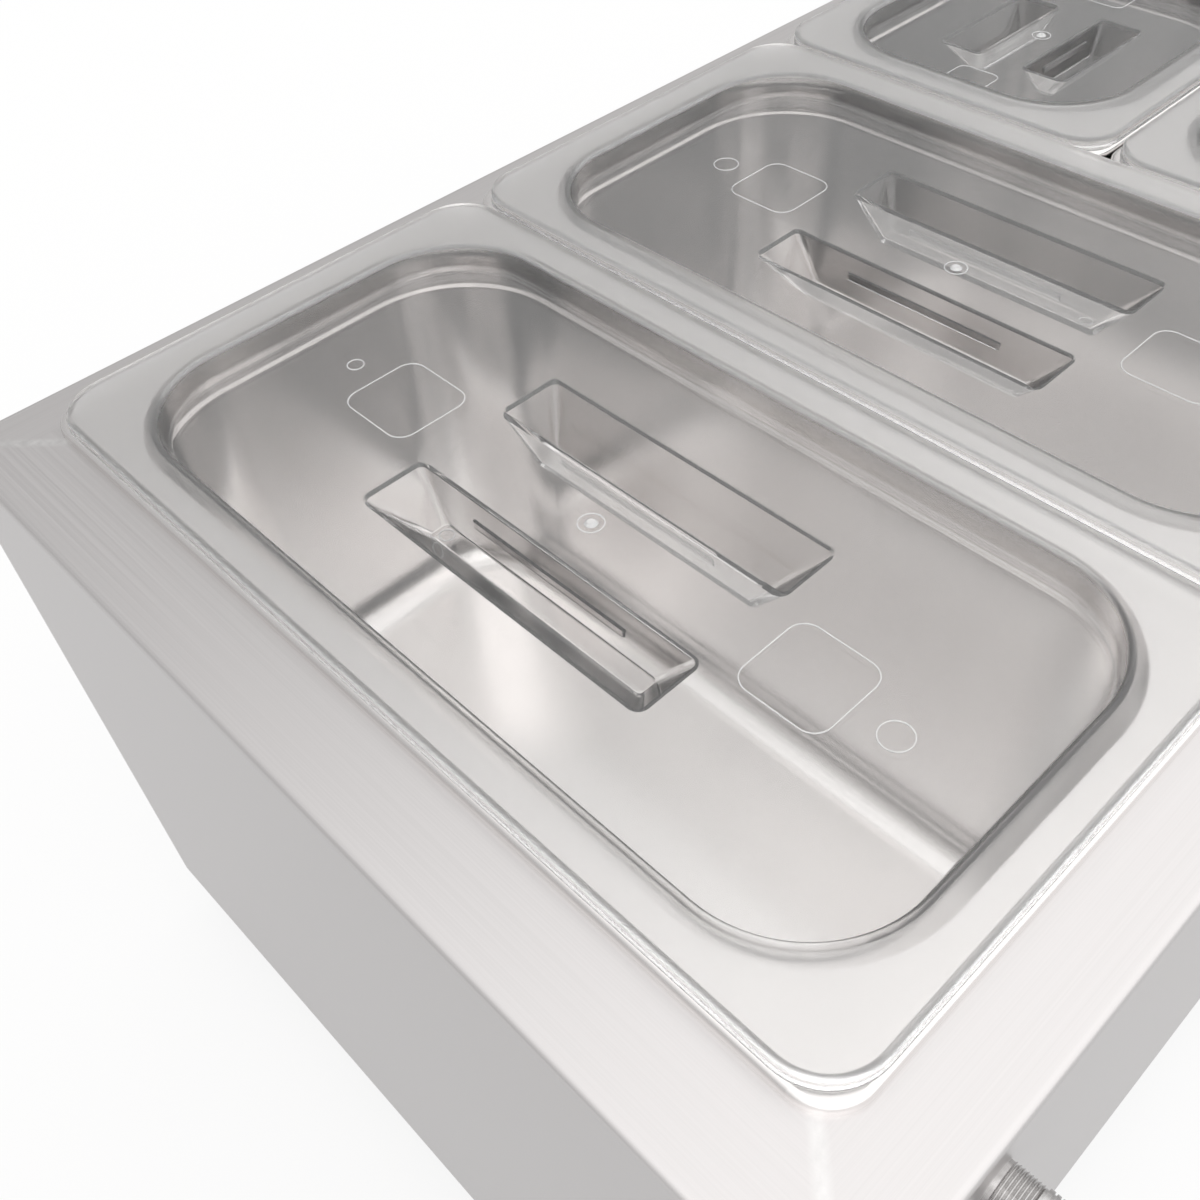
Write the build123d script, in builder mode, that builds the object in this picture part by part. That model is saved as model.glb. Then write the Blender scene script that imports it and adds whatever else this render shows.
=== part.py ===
"""Countertop water-bath food warmer with lidded gastronorm pans.

Millimetres, +Z up. The front wall, with the knob, faces -Y. The origin lies on
the counter, below the middle of the overall length and depth.
"""

import os
from math import cos, radians, tan

from build123d import *

os.makedirs("parts", exist_ok=True)

# Pans: gastronorm outlines, third size (325 x 176) and sixth size (176 x 162)
pan_long = 325.0
pan_wide = 176.0
pan_depth = 150.0
pan_gap = 0.7
pan_sheet = 0.8
pan_lip = 3.5
pan_rim_radius = 13.0
pan_rim_bend = 2.0
pan_flange = 11.5
pan_corner = 44.0
pan_draft = 3.0
pan_shoulder = 1.2
pan_shoulder_depth = 17.0
pan_floor_bend = 14.0

# Lids: clear moulded trays with a recessed panel and two finger pockets
lid_inset = 1.2
lid_corner = 17.5
lid_wall = 2.2
lid_seat_play = 0.1
lid_height = 4.0
lid_draft = 8.0
lid_edge_round = 1.4
recess_inset_x = 15.1
recess_inset_y = 16.9
recess_depth = 8.6
recess_corner = 36.0
recess_draft = 9.0
recess_edge_round = 1.2
recess_floor_round = 1.5
pocket_corner = 2.0
pocket_edge_round = 0.8
pocket_inner_slope = 3.0
grip_rib_reach = 0.9
grip_rib_height = 2.6
third_pocket_long = 118.0
third_pocket_wide = 22.4
third_pocket_depth = 15.7
third_pocket_pitch = 56.0
third_outer_slope = 12.6
third_end_slope = 13.2
third_rib_long = 65.0
sixth_pocket_long = 63.0
sixth_pocket_wide = 20.0
sixth_pocket_depth = 12.0
sixth_pocket_pitch = 43.0
sixth_outer_slope = 10.0
sixth_end_slope = 10.0
sixth_rib_long = 34.0

# Casing: four folded panels, whose top strips frame the pans
sheet = 1.2
strip_end = 28.6
strip_front = 15.0
strip_rear = 24.0
casing_bend = 2.5
deck_ledge = 5.0
bay_height = 77.0
return_flange = 16.0

# Water tank and the bars that carry the pan edges across it
tank_sheet = 1.0
tank_play = 1.2
tank_corner = 22.0
tank_flange = 14.0
tank_floor_bend = 15.0
water_depth_below_pans = 33.0
bar_width = 17.0
bar_leg = 12.0
bar_end_play = 1.0

# Base plate, feet and their fasteners
foot_height = 22.0
foot_top_radius = 16.0
foot_bottom_radius = 19.0
foot_inset = 46.0
foot_recess_radius = 8.0
foot_sole = 9.0
foot_round = 1.5
base_play = 2.0
vent_long = 60.0
vent_wide = 5.0
vent_pitch = 12.0
vent_rows = 5
vent_spread = 250.0
screw_radius = 2.0
screw_head_radius = 3.6
screw_head = 2.2
screw_head_round = 1.1
screw_grip = 4.0
screw_from_end = 62.0
screw_play = 0.15
foot_screw_radius = 2.5
foot_head_radius = 4.6
foot_head = 3.0
foot_head_round = 1.5
nut_height = 4.0
nut_flats = 8.0

# Heating element under the tank floor
element_radius = 3.25
element_seat = 0.2
element_run = 330.0
element_pitch = 46.0
element_tail = 22.0
element_drop = 26.0
element_bend = 12.0
pin_radius = 2.0
pin_length = 10.0
blade_wide = 6.0
blade_sheet = 0.8
blade_length = 9.0
clamp_sheet = 1.5
clamp_margin = 14.0
stud_radius = 2.5
stud_tail = 2.0
cutout_flange_radius = 12.0
cutout_flange = 2.0
cutout_radius = 8.0
cutout_height = 10.0
cutout_blade_pitch = 8.0
cutout_from_run = 40.0

# Controls on the front wall
control_rise = 37.0
knob_from_end = 71.0
knob_radius = 21.0
knob_grip_radius = 16.0
knob_skirt = 5.0
knob_reach = 24.0
knob_gap = 1.0
knob_nut_play = 1.0
knob_skirt_round = 1.6
knob_edge_round = 1.0
flute_radius = 3.2
flute_count = 12
knob_cap = 4.0
shaft_radius = 3.0
shaft_play = 0.1
shaft_inside = 8.0
shaft_flat = 1.5
bush_radius = 5.0
bush_reach = 7.0
bush_nut_flats = 14.0
bush_nut_height = 3.5
thermostat_x = 44.0
thermostat_y = 32.0
thermostat_z = 40.0
thermostat_round = 2.5
thermostat_blade_pitch = 22.0
capillary_radius = 1.0
capillary_bend = 10.0
capillary_offset = 11.0
capillary_run = 30.0
bulb_radius = 3.0
bulb_length = 110.0
bulb_play = 0.2
bulb_round = 1.5
bulb_above_floor = 40.0
clip_sheet = 1.0
clip_width = 10.0
clip_foot = 9.0
clip_pitch = 55.0
switch_from_end = 169.0
switch_wide = 21.0
switch_tall = 29.0
switch_depth = 24.0
switch_bezel = 2.5
switch_bezel_height = 2.0
switch_bezel_round = 1.0
switch_wall = 1.5
rocker_play = 0.4
rocker_tilt = 9.0
rocker_rise = 3.0
rocker_pivot_depth = 4.0
rocker_pivot_radius = 1.5
rocker_back = 5.0
rocker_back_inset = 2.3
switch_blade_pitch_x = 10.5
switch_blade_pitch_z = 14.5
lamps_from_end = 137.0
lamp_pitch = 19.0
lamp_radius = 5.0
lamp_bezel_radius = 7.0
lamp_bezel = 1.8
lamp_bezel_round = 0.9
lamp_length = 24.0
lamp_wall = 1.0
lens_rise = 2.4
lens_seat = 6.0
lens_play = 0.1
lens_round = 1.9

# Mains entry on the rear wall and the terminal block behind it
gland_from_end = 103.0
gland_radius = 8.0
gland_bore_radius = 4.5
gland_thread = 9.0
gland_hex_flats = 20.0
gland_hex = 5.0
gland_dome_radius = 9.6
gland_dome = 13.0
gland_dome_round = 4.0
gland_neck_radius = 6.2
gland_neck = 7.8
gland_nut = 4.0
block_long = 54.0
block_wide = 22.0
block_height = 17.0
block_poles = 3
block_pole_pitch = 13.5
block_round = 2.0
block_well_radius = 2.2
block_well_pitch = 11.0
block_well = 8.5
block_groove = 1.0
block_groove_depth = 5.5
block_from_rear = 70.0

# Bonding stud on the rear wall, near the top corner
stud_from_end = 53.6
stud_below_deck = 24.0
stud_reach = 24.0
stud_shoulder_radius = 6.0
stud_shoulder = 9.0
stud_neck_radius = 4.0
stud_relief_radius = 3.5
stud_relief = 0.8
stud_chamfer = 0.8
ring_radius = 6.6
ring_length = 8.0
ring_play = 0.1
ring_groove = 0.5
ring_grooves = 5

# Sizes and places that follow from the values above
row_x = 3 * pan_wide + 2 * pan_gap
column_pitch = pan_wide + pan_gap
sixth_deep = (pan_long - pan_gap) / 2
deck_x = row_x + 2 * strip_end
deck_y = strip_front + pan_long + strip_rear
body_y = (knob_reach - stud_reach) / 2
front_y = body_y - deck_y / 2
rear_y = body_y + deck_y / 2
row_y = front_y + strip_front + pan_long / 2

tank_inset = pan_flange - pan_sheet - tank_play
tank_x = row_x - 2 * tank_inset
tank_y = pan_long - 2 * tank_inset
tank_depth = pan_depth - pan_lip - sheet + water_depth_below_pans

base_z = foot_height
casing_z = base_z + sheet
bay_top = casing_z + bay_height
deck_z = bay_top + tank_sheet + tank_depth + sheet
tank_rim_z = deck_z - sheet
tank_floor_z = bay_top + tank_sheet
rim_z = deck_z + pan_lip
control_z = base_z + sheet + control_rise
knob_x = deck_x / 2 - knob_from_end
switch_x = deck_x / 2 - switch_from_end
lamp_places = [deck_x / 2 - lamps_from_end, deck_x / 2 - lamps_from_end + lamp_pitch]
gland_x = gland_from_end - deck_x / 2


def front_plane(x, z, out=0.0):
    """Plane on the front wall, facing -Y, moved outwards by out."""
    return Plane(origin=(x, front_y - out, z), x_dir=(1, 0, 0), z_dir=(0, -1, 0))


def rear_plane(x, z, out=0.0):
    """Plane on the rear wall, facing +Y, moved outwards by out."""
    return Plane(origin=(x, rear_y + out, z), x_dir=(-1, 0, 0), z_dir=(0, 1, 0))


def save(builder, name):
    """Label a finished piece and write its file."""
    builder.part.label = name
    export_step(builder.part, f"parts/{name}.step")


def edges_at(builder, z):
    """Edges that lie flat at height z."""
    return builder.edges().filter_by_position(Axis.Z, z - 0.01, z + 0.01)


def edges_within(builder, z, x, y, size_x, size_y):
    """Edges at height z that lie in a rectangle round (x, y)."""
    inside = edges_at(builder, z)
    inside = inside.filter_by(lambda edge: abs(edge.center().X - x) < size_x / 2 + 0.1)
    return inside.filter_by(lambda edge: abs(edge.center().Y - y) < size_y / 2 + 0.1)


# Pans
def make_pan(name, x, y, size_x, size_y):
    """Drawn pan: rim with a turned-down lip, stacking shoulder and drafted body."""
    rim = Plane((x, y, rim_z))
    shoulder = rim.offset(-pan_shoulder_depth)
    mouth_x = size_x - 2 * pan_flange
    mouth_y = size_y - 2 * pan_flange
    body_x = mouth_x - 2 * pan_shoulder
    body_y_size = mouth_y - 2 * pan_shoulder
    body_corner = pan_corner - pan_shoulder
    body_depth = pan_depth - pan_shoulder_depth
    skin = 2 * pan_sheet
    with BuildPart() as cavity:
        with BuildSketch(rim):
            RectangleRounded(mouth_x, mouth_y, pan_corner)
        extrude(amount=-pan_shoulder_depth)
        with BuildSketch(shoulder):
            RectangleRounded(body_x, body_y_size, body_corner)
        extrude(amount=-(body_depth - pan_sheet), taper=pan_draft)
        fillet(edges_at(cavity, rim_z - pan_depth + pan_sheet), pan_floor_bend)
    with BuildPart() as pan:
        with BuildSketch(rim):
            RectangleRounded(size_x, size_y, pan_rim_radius)
        extrude(amount=-pan_lip)
        fillet(edges_at(pan, rim_z), pan_rim_bend)
        with BuildSketch(rim.offset(-pan_lip)):
            RectangleRounded(size_x - skin, size_y - skin, pan_rim_radius - pan_sheet)
        extrude(amount=pan_lip - pan_sheet, mode=Mode.SUBTRACT)
        fillet(edges_at(pan, rim_z - pan_sheet), pan_rim_bend - pan_sheet)
        with BuildSketch(rim):
            RectangleRounded(mouth_x + skin, mouth_y + skin, pan_corner + pan_sheet)
        extrude(amount=-pan_shoulder_depth - pan_sheet)
        with BuildSketch(shoulder):
            RectangleRounded(body_x + skin, body_y_size + skin, body_corner + pan_sheet)
        extrude(amount=-body_depth, taper=pan_draft)
        fillet(edges_at(pan, rim_z - pan_depth), pan_floor_bend + pan_sheet)
        add(cavity.part, mode=Mode.SUBTRACT)
    save(pan, name)


# Lids
def make_lid(name, x, y, size_x, size_y, pocket):
    """Moulded lid: stepped edge, recessed panel and two wedge-shaped finger pockets."""
    seat_z = rim_z + lid_seat_play
    seat = Plane((x, y, seat_z))
    top_z = seat_z + lid_height
    panel_z = top_z - recess_depth
    floor_z = panel_z - pocket["depth"]
    top = Plane((x, y, top_z))
    lid_x = size_x - 2 * lid_inset
    lid_y = size_y - 2 * lid_inset
    recess_x = lid_x - 2 * recess_inset_x
    recess_y = lid_y - 2 * recess_inset_y
    skin = 2 * lid_wall
    floor_long = pocket["long"] - 2 * pocket["end_slope"]
    floor_wide = pocket["wide"] - pocket_inner_slope - pocket["outer_slope"]
    floor_shift = (pocket["outer_slope"] - pocket_inner_slope) / 2
    rib_across = pocket["pitch"] / 2 - pocket["wide"] / 2 + pocket_inner_slope / 2
    with BuildPart() as lid:
        with BuildSketch(seat):
            RectangleRounded(lid_x, lid_y, lid_corner)
        extrude(amount=lid_height, taper=lid_draft)
        fillet(edges_at(lid, top_z), lid_edge_round)
        with BuildSketch(seat):
            RectangleRounded(lid_x - skin, lid_y - skin, lid_corner - lid_wall)
        extrude(amount=lid_height - lid_wall, taper=lid_draft, mode=Mode.SUBTRACT)
        with BuildSketch(top):
            RectangleRounded(recess_x + skin, recess_y + skin, recess_corner + lid_wall)
        extrude(amount=-recess_depth - lid_wall, taper=recess_draft)
        fillet(edges_at(lid, panel_z - lid_wall), recess_floor_round + lid_wall / 2)
        for turn in pocket["turns"]:
            rim = Plane((x, y, panel_z)).rotated((0, 0, turn))
            with BuildSketch(rim):
                with Locations((pocket["pitch"] / 2, 0)):
                    RectangleRounded(pocket["wide"] + skin, pocket["long"] + skin, pocket_corner + lid_wall)
            with BuildSketch(rim.offset(-pocket["depth"] - lid_wall)):
                with Locations((pocket["pitch"] / 2 - floor_shift, 0)):
                    RectangleRounded(floor_wide + lid_wall, floor_long + lid_wall, pocket_corner)
            loft()
        with BuildSketch(top):
            RectangleRounded(recess_x, recess_y, recess_corner)
        extrude(amount=-recess_depth, taper=recess_draft, mode=Mode.SUBTRACT)
        fillet(edges_within(lid, top_z, x, y, recess_x, recess_y), recess_edge_round)
        fillet(edges_at(lid, panel_z), recess_floor_round)
        for turn in pocket["turns"]:
            rim = Plane((x, y, panel_z)).rotated((0, 0, turn))
            with BuildSketch(rim):
                with Locations((pocket["pitch"] / 2, 0)):
                    RectangleRounded(pocket["wide"], pocket["long"], pocket_corner)
            with BuildSketch(rim.offset(-pocket["depth"])):
                with Locations((pocket["pitch"] / 2 - floor_shift, 0)):
                    RectangleRounded(floor_wide, floor_long, pocket_corner)
            loft(mode=Mode.SUBTRACT)
        fillet(edges_at(lid, floor_z), pocket_edge_round)
        fillet(edges_within(lid, panel_z, x, y, pocket["span_x"], pocket["span_y"]), pocket_edge_round)
        for turn in pocket["turns"]:
            rib = Plane((x, y, panel_z - pocket["depth"] / 2)).rotated((0, 0, turn))
            with BuildSketch(rib):
                with Locations((rib_across, 0)):
                    SlotOverall(pocket["rib_long"], 2 * grip_rib_reach, rotation=90)
            extrude(amount=grip_rib_height / 2, both=True)
    save(lid, name)


third_pocket = {
    "long": third_pocket_long,
    "wide": third_pocket_wide,
    "depth": third_pocket_depth,
    "pitch": third_pocket_pitch,
    "outer_slope": third_outer_slope,
    "end_slope": third_end_slope,
    "rib_long": third_rib_long,
    "span_x": third_pocket_pitch + third_pocket_wide,
    "span_y": third_pocket_long,
    "turns": (0, 180),
}
sixth_pocket = {
    "long": sixth_pocket_long,
    "wide": sixth_pocket_wide,
    "depth": sixth_pocket_depth,
    "pitch": sixth_pocket_pitch,
    "outer_slope": sixth_outer_slope,
    "end_slope": sixth_end_slope,
    "rib_long": sixth_rib_long,
    "span_x": sixth_pocket_long,
    "span_y": sixth_pocket_pitch + sixth_pocket_wide,
    "turns": (90, 270),
}
third_places = {"third_right": column_pitch, "third_middle": 0.0}
sixth_places = {"sixth_front": -1, "sixth_rear": 1}
for place, x in third_places.items():
    make_pan(f"pan_{place}", x, row_y, pan_wide, pan_long)
    make_lid(f"lid_{place}", x, row_y, pan_wide, pan_long, third_pocket)
for place, side in sixth_places.items():
    y = row_y + side * (sixth_deep + pan_gap) / 2
    make_pan(f"pan_{place}", -column_pitch, y, pan_wide, sixth_deep)
    make_lid(f"lid_{place}", -column_pitch, y, pan_wide, sixth_deep, sixth_pocket)


# Casing panels: foot flange, wall and top strip folded from one sheet, mitred at both ends
screw_x = deck_x / 2 - screw_from_end
screw_inset = sheet + return_flange / 2
flange_screws = [(x, side * (deck_y / 2 - screw_inset)) for x in (-screw_x, 0, screw_x) for side in (-1, 1)]
flange_screws += [(side * (deck_x / 2 - screw_inset), 0) for side in (-1, 1)]


def make_panel(name, run, long, strip, next_strips, holes=(), windows=()):
    """Panel of a given length along its run; past the mitre it butts against a shorter strip."""
    tall = deck_z - casing_z
    reach = strip + deck_ledge
    near, far = [min(strip, other) + deck_ledge for other in next_strips]
    mitre = Plane(origin=run.origin, x_dir=run.z_dir, z_dir=(0, 0, 1))
    outline = [
        (-long / 2, 0),
        (long / 2, 0),
        (long / 2 - far, far),
        (long / 2 - far, reach),
        (near - long / 2, reach),
        (near - long / 2, near),
    ]
    with BuildPart() as panel:
        with BuildSketch(run) as section:
            Rectangle(sheet, tall, align=(Align.MIN, Align.MIN))
            Rectangle(sheet + return_flange, sheet, align=(Align.MIN, Align.MIN))
            with Locations((0, tall)):
                Rectangle(reach, sheet, align=(Align.MIN, Align.MAX))
            fillet(section.vertices().group_by(Axis.X)[1], casing_bend - sheet)
            fillet(section.vertices().group_by(Axis.X)[0], casing_bend)
        extrude(amount=long / 2, both=True)
        with BuildSketch(mitre):
            Polygon(*dict.fromkeys(outline), align=None)
        extrude(amount=tall, mode=Mode.INTERSECT)
        with BuildSketch(Plane((0, body_y, casing_z))):
            with Locations(*flange_screws):
                Circle(screw_radius + screw_play)
        extrude(amount=sheet, mode=Mode.SUBTRACT)
        for plane, radius in holes:
            with BuildSketch(plane):
                Circle(radius + screw_play)
            extrude(amount=-sheet, mode=Mode.SUBTRACT)
        for plane, size_x, size_z in windows:
            with BuildSketch(plane):
                Rectangle(size_x + 2 * screw_play, size_z + 2 * screw_play)
            extrude(amount=-sheet, mode=Mode.SUBTRACT)
    save(panel, name)


front_run = Plane(origin=(0, front_y, casing_z), x_dir=(0, 1, 0), z_dir=(1, 0, 0))
rear_run = Plane(origin=(0, rear_y, casing_z), x_dir=(0, -1, 0), z_dir=(-1, 0, 0))
right_run = Plane(origin=(deck_x / 2, body_y, casing_z), x_dir=(-1, 0, 0), z_dir=(0, 1, 0))
left_run = Plane(origin=(-deck_x / 2, body_y, casing_z), x_dir=(1, 0, 0), z_dir=(0, -1, 0))
front_holes = [(front_plane(x, control_z), lamp_radius) for x in lamp_places]
front_holes.append((front_plane(knob_x, control_z), bush_radius))
front_windows = [(front_plane(switch_x, control_z), switch_wide, switch_tall)]
rear_holes = [(rear_plane(gland_x, control_z), gland_radius)]
make_panel("casing_front", front_run, deck_x, strip_front, (strip_end, strip_end), front_holes, front_windows)
make_panel("casing_rear", rear_run, deck_x, strip_rear, (strip_end, strip_end), rear_holes)
make_panel("casing_right", right_run, deck_y, strip_end, (strip_front, strip_rear))
make_panel("casing_left", left_run, deck_y, strip_end, (strip_rear, strip_front))

# Base plate with vent slots
foot_x = deck_x / 2 - foot_inset
foot_y = deck_y / 2 - foot_inset
foot_places = [(x, y) for x in (-foot_x, foot_x) for y in (-foot_y, foot_y)]
with BuildPart() as base_plate:
    with BuildSketch(Plane((0, body_y, base_z))):
        RectangleRounded(deck_x - 2 * base_play, deck_y - 2 * base_play, casing_bend)
        with Locations(*flange_screws):
            Circle(screw_radius + screw_play, mode=Mode.SUBTRACT)
        with Locations(*foot_places):
            Circle(foot_screw_radius + screw_play, mode=Mode.SUBTRACT)
        with GridLocations(vent_spread, vent_pitch, 2, vent_rows):
            SlotOverall(vent_long, vent_wide, mode=Mode.SUBTRACT)
    extrude(amount=sheet)
save(base_plate, "base_plate")

# Base screws: pan heads below the plate, shanks up through the flange
with BuildPart() as base_screws:
    with BuildSketch(Plane((0, body_y, base_z - screw_head))):
        with Locations(*flange_screws):
            Circle(screw_head_radius)
    extrude(amount=screw_head)
    fillet(edges_at(base_screws, base_z - screw_head), screw_head_round)
    with BuildSketch(Plane((0, body_y, base_z))):
        with Locations(*flange_screws):
            Circle(screw_radius)
    extrude(amount=2 * sheet + screw_grip)
save(base_screws, "base_screws")

# Feet: tapered rubber, with the screw head sunk in from below
with BuildPart() as feet:
    for x, y in foot_places:
        with BuildSketch(Plane((x, body_y + y, 0))):
            Circle(foot_bottom_radius)
        with BuildSketch(Plane((x, body_y + y, foot_height))):
            Circle(foot_top_radius)
        loft()
    fillet(edges_at(feet, 0), foot_round)
    with BuildSketch(Plane((0, body_y, 0))):
        with Locations(*foot_places):
            Circle(foot_recess_radius)
    extrude(amount=foot_height - foot_sole, mode=Mode.SUBTRACT)
    with BuildSketch(Plane((0, body_y, foot_height - foot_sole))):
        with Locations(*foot_places):
            Circle(foot_screw_radius + screw_play)
    extrude(amount=foot_sole, mode=Mode.SUBTRACT)
save(feet, "feet")

foot_seat_z = foot_height - foot_sole
with BuildPart() as foot_screws:
    with BuildSketch(Plane((0, body_y, foot_seat_z - foot_head))):
        with Locations(*foot_places):
            Circle(foot_head_radius)
    extrude(amount=foot_head)
    fillet(edges_at(foot_screws, foot_seat_z - foot_head), foot_head_round)
    with BuildSketch(Plane((0, body_y, foot_seat_z))):
        with Locations(*foot_places):
            Circle(foot_screw_radius)
    extrude(amount=foot_sole + sheet + nut_height)
save(foot_screws, "foot_screws")

with BuildPart() as foot_nuts:
    with BuildSketch(Plane((0, body_y, base_z + sheet))):
        with Locations(*foot_places):
            RegularPolygon(nut_flats / 2, 6, major_radius=False)
            Circle(foot_screw_radius + screw_play, mode=Mode.SUBTRACT)
    extrude(amount=nut_height)
save(foot_nuts, "foot_nuts")

# Water tank: drawn tub whose flange is welded under the top frame
tank_rim = Plane((0, row_y, tank_rim_z))
with BuildPart() as tank_cavity:
    with BuildSketch(tank_rim):
        RectangleRounded(tank_x, tank_y, tank_corner)
    extrude(amount=-tank_depth)
    fillet(edges_at(tank_cavity, tank_floor_z), tank_floor_bend)
with BuildPart() as water_tank:
    with BuildSketch(tank_rim):
        RectangleRounded(tank_x + 2 * tank_flange, tank_y + 2 * tank_flange, tank_corner + tank_flange)
    extrude(amount=-tank_sheet)
    with BuildSketch(tank_rim):
        RectangleRounded(tank_x + 2 * tank_sheet, tank_y + 2 * tank_sheet, tank_corner + tank_sheet)
    extrude(amount=-tank_depth - tank_sheet)
    fillet(edges_at(water_tank, bay_top), tank_floor_bend + tank_sheet)
    add(tank_cavity.part, mode=Mode.SUBTRACT)
save(water_tank, "water_tank")

# Divider bars: folded channels whose ends lie on the tank flange, level with the frame
bar_long = pan_long - 2 * deck_ledge - 2 * bar_end_play
leg_long = tank_y - 2 * bar_end_play
for place, side in {"left": -1, "right": 1}.items():
    with BuildPart() as divider_bar:
        with BuildSketch(Plane((side * column_pitch / 2, row_y, deck_z))):
            Rectangle(bar_width, bar_long)
        extrude(amount=-sheet)
        with BuildSketch(Plane((side * column_pitch / 2, row_y, deck_z - sheet))):
            with GridLocations(bar_width - sheet, 0, 2, 1):
                Rectangle(sheet, leg_long)
        extrude(amount=sheet - bar_leg)
    save(divider_bar, f"divider_bar_{place}")

# Heating element: a sheathed tube laid in four runs under the tank floor
element_z = bay_top - element_seat - element_radius
half_run = element_run / 2
runs = [row_y + step * element_pitch for step in (-1.5, -0.5, 0.5, 1.5)]
tail_x = -half_run - element_tail
turn = element_pitch / 2 - element_seat
element_points = [
    (tail_x, runs[0], element_z - element_drop),
    (tail_x, runs[0], element_z),
    (half_run, runs[0], element_z),
    (half_run, runs[1], element_z),
    (-half_run, runs[1], element_z),
    (-half_run, runs[2], element_z),
    (half_run, runs[2], element_z),
    (half_run, runs[3], element_z),
    (tail_x, runs[3], element_z),
    (tail_x, runs[3], element_z - element_drop),
]
with BuildPart() as heating_element:
    with BuildLine() as element_path:
        FilletPolyline(*element_points, radius=[element_bend] + 6 * [turn] + [element_bend])
    with BuildSketch(Plane(element_points[0])):
        Circle(element_radius)
    sweep()
    with BuildSketch(Plane((tail_x, row_y, element_z - element_drop))):
        with GridLocations(0, 3 * element_pitch, 1, 2):
            Circle(pin_radius)
    extrude(amount=-pin_length)
save(heating_element, "heating_element")

# Clamp plate, studs and nuts that press the element to the tank
clamp_z = element_z - element_radius - element_seat
stud_x = half_run - element_pitch
with BuildPart() as clamp_plate:
    with BuildSketch(Plane((0, row_y, clamp_z))):
        RectangleRounded(element_run, 3 * element_pitch + 2 * clamp_margin, clamp_margin)
        with GridLocations(2 * stud_x, element_pitch, 2, 3):
            Circle(stud_radius + screw_play, mode=Mode.SUBTRACT)
    extrude(amount=-clamp_sheet)
save(clamp_plate, "clamp_plate")

with BuildPart() as clamp_studs:
    with BuildSketch(Plane((0, row_y, bay_top))):
        with GridLocations(2 * stud_x, element_pitch, 2, 3):
            Circle(stud_radius)
    extrude(amount=clamp_z - clamp_sheet - nut_height - stud_tail - bay_top)
save(clamp_studs, "clamp_studs")

with BuildPart() as clamp_nuts:
    with BuildSketch(Plane((0, row_y, clamp_z - clamp_sheet))):
        with GridLocations(2 * stud_x, element_pitch, 2, 3):
            RegularPolygon(nut_flats / 2, 6, major_radius=False)
            Circle(stud_radius + screw_play, mode=Mode.SUBTRACT)
    extrude(amount=-nut_height)
save(clamp_nuts, "clamp_nuts")

# Thermal cut-out against the tank floor
cutout_x = half_run + cutout_from_run
with BuildPart() as thermal_cutout:
    with BuildSketch(Plane((cutout_x, row_y, bay_top))):
        Circle(cutout_flange_radius)
    extrude(amount=-cutout_flange)
    with BuildSketch(Plane((cutout_x, row_y, bay_top - cutout_flange))):
        Circle(cutout_radius)
    extrude(amount=-cutout_height)
    with BuildSketch(Plane((cutout_x, row_y, bay_top - cutout_flange - cutout_height))):
        with GridLocations(cutout_blade_pitch, 0, 2, 1):
            Rectangle(blade_sheet, blade_wide)
    extrude(amount=-blade_length)
save(thermal_cutout, "thermal_cutout")

# Thermostat body with its threaded bush, behind the front wall
with BuildPart() as thermostat_body:
    with BuildSketch(front_plane(knob_x, control_z, -sheet)):
        Rectangle(thermostat_x, thermostat_z)
    extrude(amount=-thermostat_y)
    fillet(thermostat_body.edges().filter_by(Axis.Y), thermostat_round)
    with BuildSketch(front_plane(knob_x, control_z, -sheet)):
        Circle(bush_radius)
    extrude(amount=sheet + bush_reach)
    with BuildSketch(front_plane(knob_x, control_z, bush_reach)):
        Circle(shaft_radius + shaft_play)
    extrude(amount=-bush_reach - sheet - shaft_inside, mode=Mode.SUBTRACT)
    with BuildSketch(front_plane(knob_x, control_z, -sheet - thermostat_y)):
        with GridLocations(thermostat_blade_pitch, 0, 2, 1):
            Rectangle(blade_sheet, blade_wide)
    extrude(amount=-blade_length)
save(thermostat_body, "thermostat_body")

with BuildPart() as thermostat_nut:
    with BuildSketch(front_plane(knob_x, control_z)):
        RegularPolygon(bush_nut_flats / 2, 6, major_radius=False)
        Circle(bush_radius + screw_play, mode=Mode.SUBTRACT)
    extrude(amount=bush_nut_height)
save(thermostat_nut, "thermostat_nut")

# Thermostat shaft, flatted where the knob sits
shaft_end = knob_reach - knob_cap
with BuildPart() as thermostat_shaft:
    with BuildSketch(front_plane(knob_x, control_z, -sheet - shaft_inside + shaft_play)):
        Circle(shaft_radius)
    extrude(amount=sheet + shaft_inside - shaft_play + bush_reach)
    with BuildSketch(front_plane(knob_x, control_z, bush_reach)):
        Circle(shaft_radius)
        with Locations((0, shaft_flat)):
            Rectangle(2 * shaft_radius, shaft_radius, align=(Align.CENTER, Align.MIN), mode=Mode.SUBTRACT)
    extrude(amount=shaft_end - bush_reach)
save(thermostat_shaft, "thermostat_shaft")

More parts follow.
